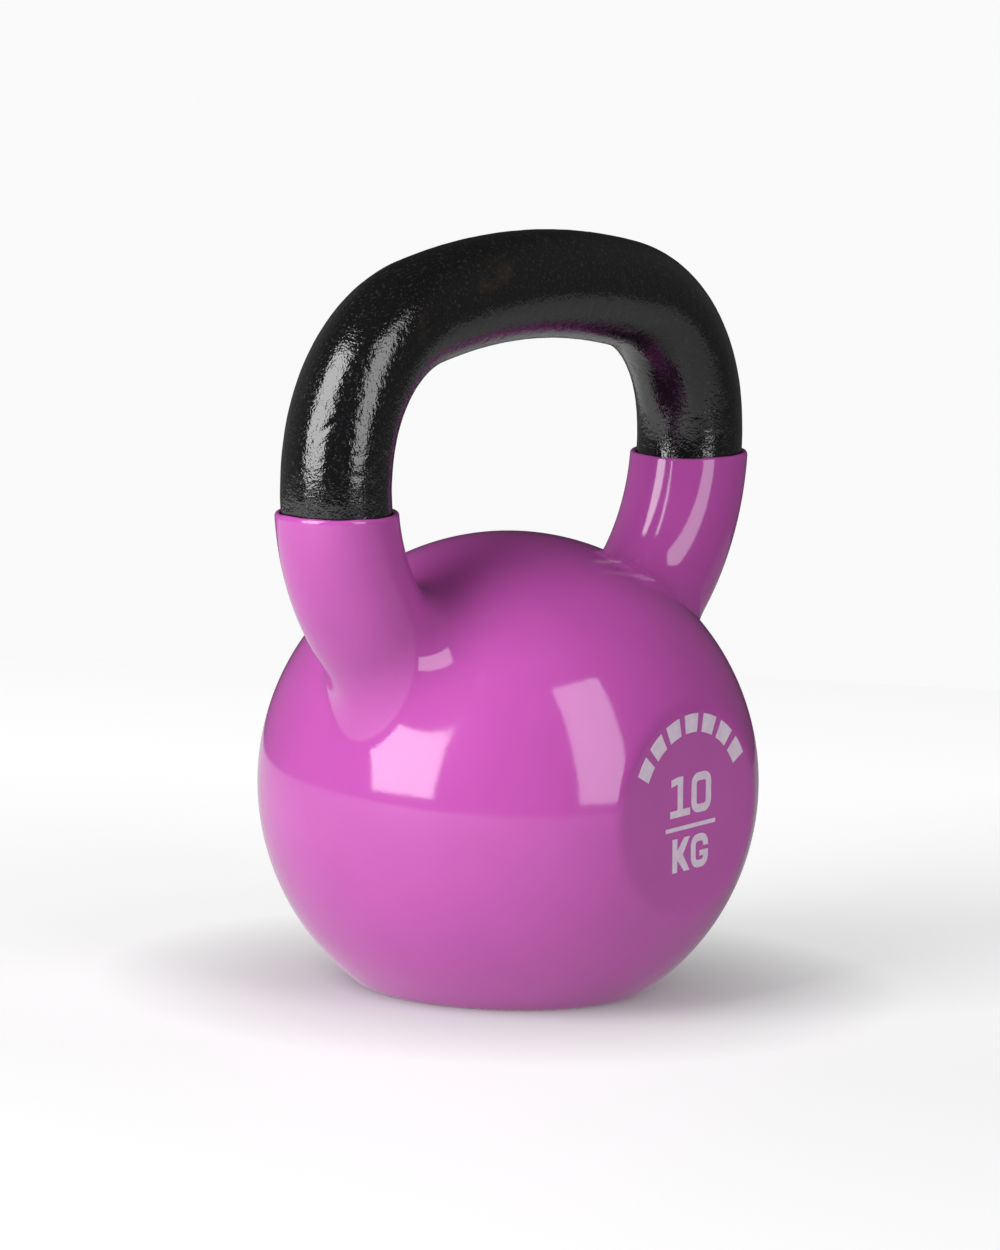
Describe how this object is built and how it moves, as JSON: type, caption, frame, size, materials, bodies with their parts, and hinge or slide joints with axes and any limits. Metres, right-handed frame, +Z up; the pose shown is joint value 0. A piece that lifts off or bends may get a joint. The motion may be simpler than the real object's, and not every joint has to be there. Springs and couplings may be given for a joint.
{
  "type": "kettlebell",
  "caption": "Cast-iron kettlebell with a vinyl-dipped ball, flat base, bare enamelled handle and a printed weight mark on a flattened front.",
  "frame": {"origin": "centre of the flat base, on the surface the kettlebell stands on, straight below the middle of the ball", "axes": "+Z up; +X along the handle's bar; the printed flat on the ball's front faces -Y"},
  "size_m": [0.1833, 0.129, 0.2044],
  "materials": {
    "iron": "matte",
    "vinyl": "gloss",
    "enamel": "gloss",
    "ink": "satin"
  },
  "bodies": {
    "root": {"cast_body": "iron", "vinyl_coat": "vinyl", "handle_enamel": "enamel", "numeral_one": "ink", "numeral_zero": "ink", "divider_bar": "ink", "letter_k": "ink", "letter_g": "ink", "arch_block_1": "ink", "arch_block_2": "ink", "arch_block_3": "ink", "arch_block_4": "ink", "arch_block_5": "ink", "arch_block_6": "ink", "arch_block_7": "ink"}
  },
  "joints": []
}
